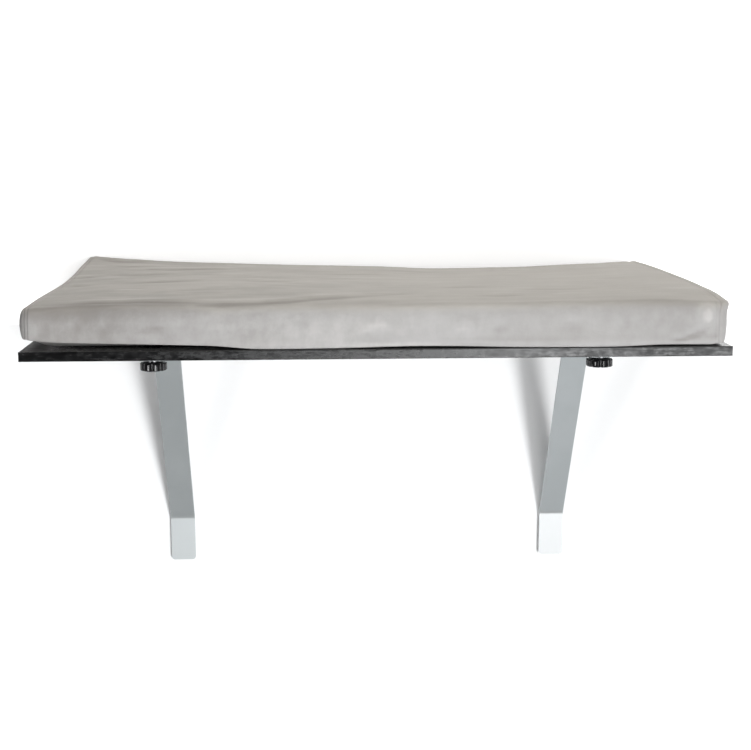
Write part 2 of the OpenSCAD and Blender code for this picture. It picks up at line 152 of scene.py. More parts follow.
def tinted(shade, tint):
    """A colour from a shade and a tint, multiplied."""
    return colour(*(a * b for a, b in zip(shade, tint)))


def effect_group(name, inputs, output):
    """A new node group with float or vector inputs and one output. Returns the group, its node builder, the
    values it is given and the node that takes its result."""
    tree = bpy.data.node_groups.new(name, "ShaderNodeTree")
    kinds = {float: "NodeSocketFloat", tuple: "NodeSocketVector"}
    for label, value in inputs.items():
        socket = tree.interface.new_socket(label, in_out="INPUT", socket_type=kinds[type(value)])
        socket.default_value = value
    tree.interface.new_socket(output, in_out="OUTPUT", socket_type="NodeSocketFloat")
    given = tree.nodes.new("NodeGroupInput").outputs
    return tree, Nodes(tree), given, tree.nodes.new("NodeGroupOutput")


def place_group(nodes, tree, **values):
    """Places an effect group in a material with its own values, and returns its outputs."""
    node = nodes.add("ShaderNodeGroup", node_tree=tree)
    for name, value in values.items():
        nodes.put(node, name, value)
    return node.outputs


def mottle_group():
    """Soft cloudy patches with finer ones on them: two noises, the place stretched by Stretch."""
    inputs = {"Scale": 20.0, "Fine scale": 90.0, "Stretch": (1.0, 1.0, 1.0)}
    tree, n, given, out = effect_group("mottle", inputs, "Mask")
    place = n.vector("MULTIPLY", n.place(), given["Stretch"])
    broad = n.noise(place, given["Scale"], detail=2.0)
    fine = n.noise(place, given["Fine scale"])
    n.put(out, "Mask", n.remap(n.plus(n.times(broad, 0.65), n.times(fine, 0.35)), 0.36, 0.64))
    return tree


def edge_wear_group():
    """Wear along the edges of a box: the middle one of the distances to its faces, broken up by noise."""
    inputs = {"Centre": (0.0, 0.0, 0.0), "Half size": (1.0, 1.0, 1.0), "Width": 0.001}
    tree, n, given, out = effect_group("edge_wear", inputs, "Mask")
    place = n.place()
    from_middle = n.vector("ABSOLUTE", n.vector("SUBTRACT", place, given["Centre"]))
    inside = n.parts(n.vector("SUBTRACT", given["Half size"], from_middle))
    nearer = n.math("MINIMUM", inside[0], inside[1])
    farther = n.math("MAXIMUM", inside[0], inside[1])
    middle = n.math("MAXIMUM", nearer, n.math("MINIMUM", farther, inside[2]))
    ragged = n.times(given["Width"], n.remap(n.noise(place, 140.0), 0.35, 0.7, 0.1, 1.6))
    n.put(out, "Mask", n.remap(middle, 0.0, ragged, 1.0, 0.0))
    return tree


def dust_group():
    """Dust that lies on what faces up, thicker in cloudy patches."""
    tree, n, given, out = effect_group("dust", {"Amount": 0.2, "Scale": 60.0}, "Mask")
    cloud = n.remap(n.noise(n.place(), given["Scale"], detail=4.0), 0.4, 0.75)
    n.put(out, "Mask", n.times(n.remap(n.upward(), 0.3, 1.0), cloud, given["Amount"]))
    return tree


def weave_group():
    """Plain weave at Threads per metre: the product of two sine ribs across each other, ribs up the sides."""
    tree, n, given, out = effect_group("weave", {"Threads": 1800.0}, "Height")
    ribs = [n.math("SINE", n.times(axis, given["Threads"], math.pi)) for axis in n.parts(n.place())]
    flat = n.math("ABSOLUTE", n.times(ribs[0], ribs[1]))
    n.put(out, "Height", n.plus(flat, n.times(n.math("ABSOLUTE", ribs[2]), 0.5)))
    return tree


MOTTLE = mottle_group()
EDGE_WEAR = edge_wear_group()
DUST = dust_group()
WEAVE = weave_group()


def material(name):
    """A new material with its Principled shader: its node builder and the shader."""
    made = bpy.data.materials.new(name)
    made.use_nodes = True
    n = Nodes(made.node_tree)
    shader = made.node_tree.nodes["Principled BSDF"]
    return made, n, shader


def set_shader(shader, **values):
    """Constant values, set on the shader's own sockets."""
    for name, value in values.items():
        shader.inputs[name.replace("_", " ")].default_value = value


# Materials


def seam_marks(n, inner_share):
    """Masks of the end seams' two lines of stitches, the inner one fainter by that share, and of the welt
    between them."""
    from_seam = n.add("ShaderNodeAttribute", attribute_name="from_seam").outputs["Fac"]
    outer, inner = (
        n.remap(n.math("ABSOLUTE", n.math("SUBTRACT", from_seam, line)), 0.0, STITCH_WIDTH, 1.0, 0.0)
        for line in (SEAM_HALF, -SEAM_HALF)
    )
    welt = n.remap(n.math("ABSOLUTE", from_seam), SEAM_HALF * 0.5, SEAM_HALF, 1.0, 0.0)
    return n.math("MAXIMUM", outer, n.times(inner, inner_share)), welt


def velour(name, low, high):
    """Short-pile velour: cloudy patches, wrinkles along the width on top, brush marks on the front, fine
    pile, and the end seams. It carries painted shade and light: the left part darker, the folds darker in
    their valleys and paler beside them, the stuffed corner and the left end paler, bands across the front
    darker and paler, its upper edge darker, and a tint by facing, warmer and paler on top, cooler and darker
    on the front. Its marks are stronger towards the left."""
    made, n, shader = material(name)
    place = n.place()
    across = n.parts(place)[0]
    facing_up = n.remap(n.upward(), 0.35, 0.8)
    patches = place_group(n, MOTTLE, Scale=15.0, Fine_scale=70.0, Stretch=(0.5, 0.6, 1.0))["Mask"]
    wrinkles = n.remap(n.grain(place, (13.0, 75.0, 75.0), detail=4.0, roughness=0.6), 0.3, 0.7)
    brushed = n.remap(n.grain(place, (75.0, 75.0, 48.0), detail=5.0, roughness=0.68), 0.3, 0.7)
    marks = n.add("ShaderNodeMix", data_type="FLOAT", in_0=facing_up, in_2=brushed, in_3=wrinkles).outputs[0]
    strength = n.remap(across, -0.22, 0.16, 1.5, 0.7)
    tone = n.plus(n.times(patches, 0.58), n.times(marks, 0.42))
    tone = n.plus(n.times(n.math("SUBTRACT", tone, 0.5), strength), 0.5)
    # Painted light: the front is tinted cooler and darker and the top warmer and paler, as the light falls on
    # each
    front_shade_tint, top_light_tint = (0.855, 0.859, 0.875), (0.965, 0.955, 0.932)
    lows, highs = (n.mix(facing_up, tinted(grey, front_shade_tint), tinted(grey, top_light_tint)) for grey in (low, high))
    shade = n.mix(n.remap(tone, 0.1, 0.9, smooth=False), lows, highs)
    # Painted shade: the left part of the cloth is darker, where less light falls
    left_painted_shade = n.remap(n.plus(across, n.times(patches, 0.08)), -0.26, 0.06, 0.24, 0.0)
    shade = n.mix(left_painted_shade, shade, colour(0.2, 0.185, 0.17))
    fold_and_painted_shade = n.add("ShaderNodeAttribute", attribute_name="fold_and_painted_shade").outputs["Fac"]
    uneven = n.times(n.remap(marks, 0.0, 1.0, -0.08, 0.08, smooth=False), strength)
    # Painted light: the cloth beyond the left seam is made paler
    fold_and_painted_shade = n.plus(fold_and_painted_shade, uneven, n.remap(across, -0.289, -0.3, 0.0, 0.7))
    # Painted shade and highlight: darker in the folds' valleys and dark bands, paler on their ridges and pale
    # bands
    shade = n.mix(n.remap(fold_and_painted_shade, -0.1, -1.4, 0.0, 0.5), shade, colour(0.19, 0.175, 0.16))
    shade = n.mix(n.remap(fold_and_painted_shade, 0.1, 1.0, 0.0, 0.5), shade, colour(0.6, 0.585, 0.57))
    at_left = n.remap(across, -0.05, 0.05, 1.0, 0.25)
    stitches, welt = seam_marks(n, at_left)
    shade = n.mix(n.times(stitches, 0.5, at_left), shade, colour(0.16, 0.15, 0.145))
    pile = n.noise(place, 2600.0, detail=2.0, roughness=0.7)
    lay = n.grain(place, (1.0, 1.6, 2.2), 130.0, detail=4.0)
    height = n.plus(n.times(pile, 0.2), n.times(lay, 0.8), n.times(welt, 0.5))
    height = n.math("SUBTRACT", height, n.times(stitches, 0.5))
    n.put(shader, "Base_Color", shade)
    n.put(shader, "Roughness", n.remap(patches, 0.0, 1.0, 0.82, 0.95))
    n.put(shader, "Normal", n.bump(height, 0.0011, 0.45))
    set_shader(shader, Sheen_Weight=0.12, Sheen_Roughness=0.45, Specular_IOR_Level=0.2)
    return made


def laminate(name, box, low, high, roughness, dull_end=0.0):
    """Black wood-grain foil: long pores along the width pressed into a satin film, with wear along its edges.
    It is smoother towards the left, and by dull_end duller at the very left and smoother at the very right."""
    made, n, shader = material(name)
    place = n.place()
    bands = n.grain(place, (14.0, 120.0, 220.0), detail=4.0, roughness=0.6, distortion=0.6)
    pores = n.remap(n.grain(place, (60.0, 900.0, 900.0)), 0.52, 0.62)
    flecks = n.grain(place, (150.0, 300.0, 300.0), roughness=0.6)
    shade = n.mix(n.remap(bands, 0.35, 0.68), colour(*low), colour(*high))
    centre, half = (box[0] + box[1]) / 2, (box[1] - box[0]) / 2
    wear = place_group(n, EDGE_WEAR, Centre=tuple(centre), Half_size=tuple(half), Width=0.0007)["Mask"]
    shade = n.mix(n.times(wear, 0.2), shade, colour(0.1, 0.1, 0.105))
    dust = place_group(n, DUST, Amount=0.04, Scale=45.0)["Mask"]
    n.put(shader, "Base_Color", n.mix(dust, shade, colour(0.3, 0.29, 0.28)))
    across = n.parts(place)[0]
    rubbed = n.plus(
        n.remap(across, -0.02, 0.26, -0.05, 0.15),
        n.remap(across, -0.296, -0.274, dull_end, 0.0),
        n.remap(across, -0.3, -0.08, -0.1, 0.0),
        n.remap(across, 0.284, 0.298, 0.0, -0.5 * dull_end),
    )
    rough = n.remap(flecks, 0.3, 0.7, roughness - 0.08, roughness + 0.1)
    n.put(shader, "Roughness", n.plus(rough, rubbed, n.times(pores, 0.06)))
    relief = n.plus(n.times(flecks, 0.7), n.times(pores, -0.3))
    n.put(shader, "Normal", n.bump(relief, 0.00015, 0.45))
    set_shader(shader, Specular_IOR_Level=0.5)
    return made


def bar_coat(name, box, low, high, foot):
    """Silver-grey satin coat on the bent flat bar: fine metallic flake, orange peel and rubbed edges, whose
    paler tone is also a painted highlight on the bar's rounded edges. The upright foot below the bend is half
    covered by its own tone, which paints how the light falls on that foot."""
    made, n, shader = material(name)
    place = n.place()
    across, height = n.parts(place)[0], n.parts(place)[2]
    clouds = place_group(n, MOTTLE, Scale=9.0, Fine_scale=40.0)["Mask"]
    shade = n.mix(clouds, colour(*low), colour(*high))
    # Painted light: the foot below the bend is half covered by its lit tone
    shade = n.mix(n.remap(height, BEND_Z - 3 * MM, BEND_Z + 3 * MM, 0.5, 0.0), shade, colour(*foot))
    middle_x, half_width = (box[0][0] + box[1][0]) / 2, (box[1][0] - box[0][0]) / 2
    from_middle = n.math("ABSOLUTE", n.math("SUBTRACT", across, middle_x))
    rub_width = n.times(0.0012, n.remap(n.noise(place, 160.0), 0.35, 0.7, 0.3, 1.4))
    pale_edge_wear_and_highlight = n.remap(n.math("SUBTRACT", half_width, from_middle), 0.0, rub_width, 1.0, 0.0)
    # The pale rubbed edges are wear and also a painted highlight on the bar's rounded edges
    n.put(shader, "Base_Color", n.mix(n.times(pale_edge_wear_and_highlight, 0.4), shade, colour(0.55, 0.57, 0.59)))
    flake = n.noise(place, 5200.0, detail=1.0)
    n.put(shader, "Roughness", n.remap(flake, 0.3, 0.7, 0.42, 0.52))
    peel = n.noise(place, 700.0, detail=2.0)
    n.put(shader, "Normal", n.bump(n.plus(peel, n.times(flake, 0.3)), 0.00006, 0.5))
    set_shader(shader, Metallic=0.4, Specular_IOR_Level=0.5)
    return made


def moulded(name, low, high, roughness, coat):
    """Injection-moulded plastic: faint flow marks, a fine skin texture and scuffs."""
    made, n, shader = material(name)
    place = n.place()
    flow = place_group(n, MOTTLE, Scale=120.0, Fine_scale=500.0)["Mask"]
    n.put(shader, "Base_Color", n.mix(flow, colour(*low), colour(*high)))
    scuff = n.remap(n.grain(place, (1.0, 1.0, 5.0), 380.0, detail=4.0), 0.58, 0.72)
    n.put(shader, "Roughness", n.plus(n.times(scuff, 0.12), roughness))
    n.put(shader, "Normal", n.bump(n.noise(place, 3000.0), 0.00002, 0.4))
    set_shader(shader, Coat_Weight=coat, Coat_Roughness=0.05, Specular_IOR_Level=0.18)
    return made


def plated(name, low, high, roughness, turned=False):
    """Plated or turned metal: cloudy passivation, and fine rings round +Z where it was turned."""
    made, n, shader = material(name)
    place = n.place()
    clouds = place_group(n, MOTTLE, Scale=150.0, Fine_scale=700.0)["Mask"]
    n.put(shader, "Base_Color", n.mix(clouds, colour(*low), colour(*high)))
    stretch = (60.0, 60.0, 5200.0) if turned else (1400.0, 1400.0, 1400.0)
    marks = n.grain(place, stretch, detail=2.0)
    n.put(shader, "Roughness", n.remap(marks, 0.3, 0.7, roughness - 0.06, roughness + 0.08))
    n.put(shader, "Normal", n.bump(marks, 0.00003, 0.5))
    set_shader(shader, Metallic=1.0)
    return made


def woven_tape(name, low, high, threads, pile, pile_depth):
    """Woven tape: plain weave under a pile of hooks or loops, darker where weave and pile are low as painted
    shade in their hollows.
    """
    made, n, shader = material(name)
    place = n.place()
    weave = place_group(n, WEAVE, Threads=threads)["Height"]
    tuft = n.add("ShaderNodeTexVoronoi", in_Vector=place, in_Scale=pile).outputs["Distance"]
    height = n.plus(n.times(weave, 0.4), n.math("SUBTRACT", 1.0, tuft))
    n.put(shader, "Base_Color", n.mix(n.remap(height, 0.3, 1.2), colour(*low), colour(*high)))
    n.put(shader, "Roughness", n.remap(tuft, 0.0, 0.7, 0.75, 0.95))
    n.put(shader, "Normal", n.bump(height, pile_depth, 0.8))
    set_shader(shader, Sheen_Weight=0.1, Specular_IOR_Level=0.25)
    return made


def rubber(name):
    """Matte rubber pad: a pebbled face, dusty in patches."""
    made, n, shader = material(name)
    place = n.place()
    pebble = n.add("ShaderNodeTexVoronoi", in_Vector=place, in_Scale=1100.0).outputs["Distance"]
    bloom = place_group(n, MOTTLE, Scale=70.0, Fine_scale=300.0)["Mask"]
    n.put(shader, "Base_Color", n.mix(bloom, colour(0.02, 0.02, 0.02), colour(0.045, 0.045, 0.045)))
    n.put(shader, "Roughness", n.remap(bloom, 0.0, 1.0, 0.75, 0.92))
    n.put(shader, "Normal", n.bump(pebble, 0.0001, 0.6))
    set_shader(shader, Specular_IOR_Level=0.3)
    return made


def open_foam(name):
    """Open-cell foam: small round cells in a cream block, each cell's middle darker as painted shade in its
    pore.
    """
    made, n, shader = material(name)
    place = n.place()
    cells = n.add("ShaderNodeTexVoronoi", in_Vector=place, in_Scale=900.0).outputs["Distance"]
    n.put(shader, "Base_Color", n.mix(cells, colour(0.55, 0.5, 0.38), colour(0.78, 0.74, 0.62)))
    n.put(shader, "Normal", n.bump(cells, 0.0005, 0.8))
    set_shader(shader, Roughness=0.95)
    return made


# Darker and paler tone of each bracket's coat, and the tone over its foot: painted light and shade, the left
# bracket darker and the right paler as the light falls from the right, the left foot painted paler and the
# right foot darker
BAR_LIT_AND_SHADED_TONES = {
    "left": ((0.37, 0.394, 0.4), (0.402, 0.426, 0.431), (0.54, 0.565, 0.57)),
    "right": ((0.448, 0.477, 0.486), (0.482, 0.51, 0.52), (0.385, 0.375, 0.372)),
}


def dress_solids():
    """Gives every solid its own finish."""
    hook = woven_tape("hook_tape", (0.006, 0.006, 0.007), (0.03, 0.03, 0.032), 1600.0, 900.0, 0.0006)
    loop = woven_tape("loop_tape", (0.02, 0.02, 0.021), (0.07, 0.07, 0.072), 1600.0, 1300.0, 0.0004)
    zinc = plated("zinc_steel", (0.52, 0.53, 0.55), (0.66, 0.67, 0.68), 0.32)
    black_zinc = plated("black_zinc", (0.05, 0.05, 0.052), (0.09, 0.09, 0.092), 0.28, turned=True)
    brass = plated("insert_brass", (0.55, 0.37, 0.14), (0.68, 0.5, 0.22), 0.28, turned=True)
    band_look = (SHELF, (0.002, 0.002, 0.0021), (0.009, 0.009, 0.0095), 0.3)
    edging = laminate("edge_banding", *band_look)
    end_edging = laminate("end_edge_banding", *band_look, dull_end=0.5)
    foil_look = (SHELF, (0.004, 0.004, 0.0042), (0.014, 0.014, 0.0145), 0.34)
    foil = laminate("shelf_laminate", *foil_look, dull_end=0.5)
    pads = rubber("pad_rubber")
    zip_tape = woven_tape("zip_plastic", (0.2, 0.195, 0.19), (0.32, 0.31, 0.3), 1500.0, 1200.0, 0.0002)
    zip_metal = plated("zip_metal", (0.2, 0.2, 0.2), (0.3, 0.3, 0.3), 0.35)
    finishes = {
        "board": foil,
        "front_edge_band": edging,
        "rear_edge_band": edging,
        "left_edge_band": end_edging,
        "right_edge_band": end_edging,
        "sill_hook_tape": hook,
        "cushion_hook_tapes": hook,
        "sill_loop_tape": loop,
        "cushion_loop_tapes": loop,
        "foam_core": open_foam("foam"),
        "cover_zip": zip_tape,
        "zip_slider": zip_metal,
        "zip_pull": zip_metal,
    }
    for side, box in zip(("left", "right"), BRACKETS):
        finishes[side + "_bracket"] = bar_coat(side + "_bracket_finish", box, *BAR_LIT_AND_SHADED_TONES[side])
        finishes[side + "_carriage_bolt"] = zinc
        finishes[side + "_guide_rivet"] = zinc
        finishes[side + "_washer"] = black_zinc
        finishes[side + "_foot_pad"] = pads
        finishes[side + "_knob_insert"] = brass
    for name, finish in finishes.items():
        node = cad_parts[name]
        for slot in node.material_slots:
            slot.material = finish
        if not node.material_slots:
            node.data.materials.append(finish)


# Meshes


def make_mesh(name, points, faces, finish, smooth=True):
    """A mesh object from an array of points and lists or arrays of faces."""
    mesh = bpy.data.meshes.new(name)
    mesh.from_pydata(points.tolist(), [], [list(face) for group in faces for face in group])
    mesh.polygons.foreach_set("use_smooth", np.full(len(mesh.polygons), smooth))
    mesh.materials.append(finish)
    mesh.update()
    piece = bpy.data.objects.new(name, mesh)
    bpy.context.scene.collection.objects.link(piece)
    return piece


def eased(chosen, at, width):
    """Values chosen at places in millimetres, joined by lines and rounded by a bell curve of that width."""
    places, values = np.array(chosen, float).T
    places = places * MM
    reach, samples = 4 * width, 1200
    fine = np.linspace(places[0] - reach, places[-1] + reach, samples)
    weights = np.exp(-0.5 * (np.arange(-reach, reach, fine[1] - fine[0]) / width) ** 2)
    joined = np.pad(np.interp(fine, places, values), len(weights) // 2, mode="edge")
    rounded = np.convolve(joined, weights / weights.sum(), mode="valid")
    return np.interp(at, fine, rounded[:samples])


def ease(share):
    """0 to 1 with a flat start and end."""
    t = np.clip(share, 0, 1)
    return t * t * (3 - 2 * t)


def bell(offset, width):
    """1 in the middle and falling off to both sides: exp(-(offset / width)^2)."""
    return np.exp(-((offset / width) ** 2))


# Knobs

# Angle of one flute of each knob from +X, seen from above
FLUTE_ANGLE = {"left_fluted_knob": math.radians(43.0), "right_fluted_knob": math.radians(40.0)}


def knob_profile(top_z, low_z, rim_r, collar_r, bore_r):
    """Half section of the knob as (radius, height) points: its middle below, round the rim, to the bore."""
    crown, crown_r = 0.8 * MM, rim_r - 3.2 * MM
    lobe_low, lobe_top = low_z + crown, top_z - 1.6 * MM
    below = [
        (0.0, low_z),
        (crown_r * 0.4, low_z),
        (crown_r * 0.7, low_z + 0.4 * crown),
        (crown_r * 1.05, lobe_low - 0.1 * crown),
    ]
    edge = 0.9 * MM
    edge_r, edge_z = rim_r - edge, lobe_low + edge
    turn = np.linspace(-math.pi / 2, 0, 7)
    rim_low = [(edge_r + edge * math.cos(a), edge_z + edge * math.sin(a)) for a in turn]
    rim_top = [(r, lobe_low + lobe_top - z) for r, z in reversed(rim_low)]
    side = [(rim_r, lobe_low + share * (lobe_top - lobe_low)) for share in (0.3, 0.5, 0.7)]
    shoulder = [(rim_r - 2.2 * MM, lobe_top + 0.5 * MM), (collar_r + 1.4 * MM, top_z - 0.35 * MM)]
    bore_end = lobe_low + 1.0 * MM
    bore = [(collar_r + 0.6 * MM, top_z), (bore_r, top_z), (bore_r, bore_end), (0.0, bore_end)]
    return np.array(below + rim_low + side + rim_top + shoulder + bore)


def fluted_knob(name, node, finish):
    """A knob as a turned profile whose radius is held in by eight flutes: the limit at an angle is the rim's
    less depth * bell(distance round the rim to the nearest flute), and less the lobes' own rounding."""
    low, high = span(node)
    insert = span(node + "_insert")
    centre = (low + high) / 2
    rim_r = (high[0] - low[0]) / 2
    bore_r = (insert[1][0] - insert[0][0]) / 2 + 0.1 * MM
    collar_r = 7.0 * MM
    profile = knob_profile(high[2], low[2], rim_r, collar_r, bore_r)
    flutes, columns_each = 8, 26
    depth, half_width = 2.1 * MM, 2.3 * MM
    columns, pitch = flutes * columns_each, 2 * math.pi / flutes
    angle = np.linspace(0, 2 * math.pi, columns, endpoint=False)
    off = np.abs((angle - FLUTE_ANGLE[name] + pitch / 2) % pitch - pitch / 2) * rim_r
    cut = depth * (0.5 + 0.5 * np.cos(math.pi * np.clip(off / half_width, 0, 1))) ** 0.7
    rounding = 0.35 * MM * (1 - off / off.max()) ** 2
    limit = (rim_r - np.maximum(cut, rounding))[:, None]
    radius = np.minimum(profile[1:-1, 0], limit)
    x = centre[0] + radius * np.cos(angle)[:, None]
    y = centre[1] + radius * np.sin(angle)[:, None]
    ring = np.stack([x, y, np.broadcast_to(profile[1:-1, 1], radius.shape)], -1)
    poles = [(centre[0], centre[1], profile[0, 1]), (centre[0], centre[1], profile[-1, 1])]
    index = np.arange(radius.size).reshape(radius.shape)
    after = np.roll(index, -1, axis=0)
    quads = np.stack([index[:, :-1], after[:, :-1], after[:, 1:], index[:, 1:]], -1).reshape(-1, 4)
    low_fan = np.stack([after[:, 0], index[:, 0], np.full(columns, index.size)], -1)
    top_fan = np.stack([index[:, -1], after[:, -1], np.full(columns, index.size + 1)], -1)
    return make_mesh(name, np.concatenate([ring.reshape(-1, 3), poles]), [quads, low_fan, top_fan], finish)


def make_knobs():
    """Both knobs with soft moulded edges, in place of the plain ones."""
    finish = moulded("knob_plastic", (0.006, 0.006, 0.0065), (0.011, 0.011, 0.012), 0.08, coat=0.03)
    for side in ("left", "right"):
        knob = fluted_knob(side + "_fluted_knob", side + "_knob", finish)
        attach(knob, side + "_clamp_knob")
        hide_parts(side + "_knob")


# Cushion

# How far the side bulges out at the ends, and at the front and rear
END_REACH, FRONT_REACH = 7 * MM, 13 * MM
# Radius of the sheets' corners in plan, and the grid's usual step
INNER_CORNER = 3 * MM
GRID_STEP = 5 * MM
# Angle of each row of the side on its way round from the lower rim to the upper one
RISE_ANGLES = np.radians([3, 6, 12, 19, 27, 37, 50, 64, 78, 90, 102, 116, 130, 143, 153, 161, 168, 174])
# Distance of each end seam from the cushion's middle before the ends are drawn, half its welt, its stitches'
# width
SEAM_LEFT, SEAM_RIGHT = 294.6 * MM, 290.6 * MM
SEAM_HALF = 1.5 * MM
STITCH_WIDTH = 0.8 * MM
RIPPLE_COUNT, RIPPLE_SEED = 150, 11

# Heights over the shelf, as (place across, height) in millimetres: the lower front edge as it hangs, the top
# at its rear and at its front
FRONT_LIP = [
    (-302, 10.2), (-292, 8.9), (-268, 6.6), (-237, 5.7), (-196, 4.7), (-139, 3.2), (-108, 0.3), (-68, 0.2),
    (-26, 0.5), (3, 1.2), (31, 1.7), (69, 1.4), (104, 0.5), (128, 0.2), (180, 0.2), (207, 0.2), (242, 1.3),
    (263, 1.3), (288, 1.0), (304, 3.0),
]
REAR_TOP = [
    (-302, 52.5), (-290, 51.2), (-262, 48.6), (-208, 45.0), (-147, 42.9), (-114, 41.7), (-70, 40.4),
    (-26, 39.6), (18, 38.5), (63, 36.1), (129, 36.4), (174, 37.0), (219, 39.3), (252, 40.7), (275, 42.1),
    (302, 43.6),
]
FRONT_TOP = [
    (-302, 35.6), (-280, 36.8), (-200, 36.6), (-120, 35.6), (0, 34.6), (120, 35.2), (200, 37.4), (285, 39.1),
    (302, 37.9),
]
# How far the lower front bulges forwards, most where it lies on the shelf, in the same way
FRONT_SAG = [
    (-302, 0), (-150, 0), (-108, 2.6), (-78, 2.6), (-26, 0.6), (31, 0), (104, 1.5), (128, 3.0), (180, 5.4),
    (207, 4.2), (242, 0.6), (263, 0.6), (288, 1.0), (302, 0.5),
]
# How far the ear at the right front corner stands out, as (place towards the window, reach) in millimetres
EAR = [(-312, 3.6), (-300, 4.7), (-270, 3.6), (-248, 1.0), (-228, 0)]
# Along the width: the front's painted light and shade (dark below 0, pale above it), how much painted
# shade darkens its upper edge, and how much that edge is softened
FRONT_PAINTED_LIGHT = [
    (-282, -0.85), (-252, -0.95), (-215, -0.5), (-165, 0), (-118, 0.3), (-75, 0.35), (-20, 0.5), (30, 0.3),
    (82, -0.25), (134, -0.5), (190, -0.35), (235, -0.45), (268, -0.55),
]
UPPER_EDGE_PAINTED_SHADE = [
    (-300, 0.9), (-270, 0.6), (-225, 0.4), (-120, 0.5), (-20, 0.5), (60, 0.3), (130, 0.05), (190, 0),
    (240, 0), (285, 0),
]
SOFTENED = [
    (-302, 0), (-285, 0.2), (-200, 0.45), (-120, 0.5), (-40, 0.95), (60, 1.0), (130, 0.8), (190, 0.35),
    (240, 0.15), (302, 0),
]


def grid_lines(half):
    """Places of the grid's lines from -half to half: close together in each end's last stretch."""
    inner = half - INNER_CORNER
    end = inner + INNER_CORNER * np.linspace(1 / 6, 1, 6)
    approach = inner - np.array([6.0, 3.6, 1.7]) * MM
    even = np.linspace(-inner + 9 * MM, inner - 9 * MM, round(2 * inner / GRID_STEP) - 3)
    return np.concatenate([-end[::-1], [-inner], -approach[::-1], even, approach, [inner], end])


def cushion_skin():
    """The cushion's closed skin as a box of quads: an underside sheet, a top sheet and a strip round the
    side. Returns its grid lines, the sheets' plan points, the outward way at each, and the sheets' and the
    rim's index."""
    half = (COVER[1] - COVER[0])[:2] / 2 - (END_REACH, FRONT_REACH)
    corner = INNER_CORNER
    xs, ys = grid_lines(half[0]), grid_lines(half[1])
    gx, gy = np.meshgrid(xs, ys, indexing="ij")
    # In the corner squares the larger distance becomes the radius, and the smaller one's share the angle
    over_x = np.clip(np.abs(gx) - (half[0] - corner), 0, None) / corner
    over_y = np.clip(np.abs(gy) - (half[1] - corner), 0, None) / corner
    far, near = np.maximum(over_x, over_y), np.minimum(over_x, over_y)
    angle = math.pi / 4 * near / np.where(far > 0, far, 1)
    long_way, short_way = far * np.cos(angle), far * np.sin(angle)
    in_corner = (over_x > 0) & (over_y > 0)
    to_x = np.where(over_x >= over_y, long_way, short_way)
    to_y = np.where(over_x >= over_y, short_way, long_way)
    px = np.where(in_corner, np.sign(gx) * (half[0] - corner + corner * to_x), gx)
    py = np.where(in_corner, np.sign(gy) * (half[1] - corner + corner * to_y), gy)
    way_x = np.where(over_x > 0, np.sign(gx) * to_x, 0)
    way_y = np.where(over_y > 0, np.sign(gy) * to_y, 0)
    way = np.stack([way_x, way_y], -1)
    length = np.linalg.norm(way, axis=-1, keepdims=True)
    way = way / np.where(length > 0, length, 1)
    index = np.arange(gx.size).reshape(gx.shape)
    rim = np.concatenate([index[:-1, 0], index[-1, :-1], index[:0:-1, -1], index[0, :0:-1]])
    return xs, ys, np.stack([px, py], -1), way, index, rim


def front_lip(x):
    """Height of the cushion's lower front edge."""
    return BOARD_TOP + np.maximum(eased(FRONT_LIP, x, 6 * MM) * MM, 0.2 * MM)


def underside(x, from_front, from_left):
    """Height of the underside: flat, down a little behind the front lip, and curled up at its left end."""
    flat_z = COVER[0][2] - 1.5 * MM * ease(1 - (from_front - 14 * MM) / (12 * MM))
    lip_near = ease(1 - from_front / (11 * MM))
    left_curl = 5 * MM * ease(1 - from_left / (16 * MM)) * (1 - lip_near)
    return flat_z + (front_lip(x) - flat_z) * lip_near + left_curl


def top_heights(x, share):
    """Height of the cushion's top: from the front line to the rear line with share^power, steeper near the
    plumped rear left corner, plus a rise behind the front edge, the right end's own rise and a crown."""
    front = eased(FRONT_TOP, x, 14 * MM) * MM
    power = 1.0 + 2.2 * ease((-120 * MM - x) / (150 * MM)) + 0.4 * ease((150 * MM - x) / (200 * MM))
    crown = (1.2 * MM + 1.6 * MM * ease((x - 150 * MM) / (130 * MM))) * 4 * share * (1 - share)
    slope = 2.6 * MM * ease((230 * MM - np.abs(x + 10 * MM)) / (120 * MM)) * ease(share / 0.13)
    corner = 2.8 * MM * ease((x - 230 * MM) / (60 * MM)) * ease(share / 0.1)
    climb = eased(REAR_TOP, x, 7 * MM) * MM - front - slope - corner
    return BOARD_TOP + front + climb * np.clip(share, 0, 1) ** power + slope + corner + crown


def ends_drawn(points):
    """Moves the ends: proud of the solid at the front, drawn in towards the rear and midway."""
    x, y = points[:, 0], points[:, 1]
    depth = (COVER[1][1] - y) / (COVER[1][1] - COVER[0][1])
    near_end = ease((np.abs(x) - 200 * MM) / (100 * MM))
    left = 4.2 * ease((depth - 0.4) / 0.4) - 3.0 * ease((0.2 - depth) / 0.2)
    right = 0.7 * ease((depth - 0.6) / 0.3) + 2.0 * ease(1 - np.abs(depth - 0.75) / 0.35)
    return np.where(x < 0, -left, right) * near_end * MM


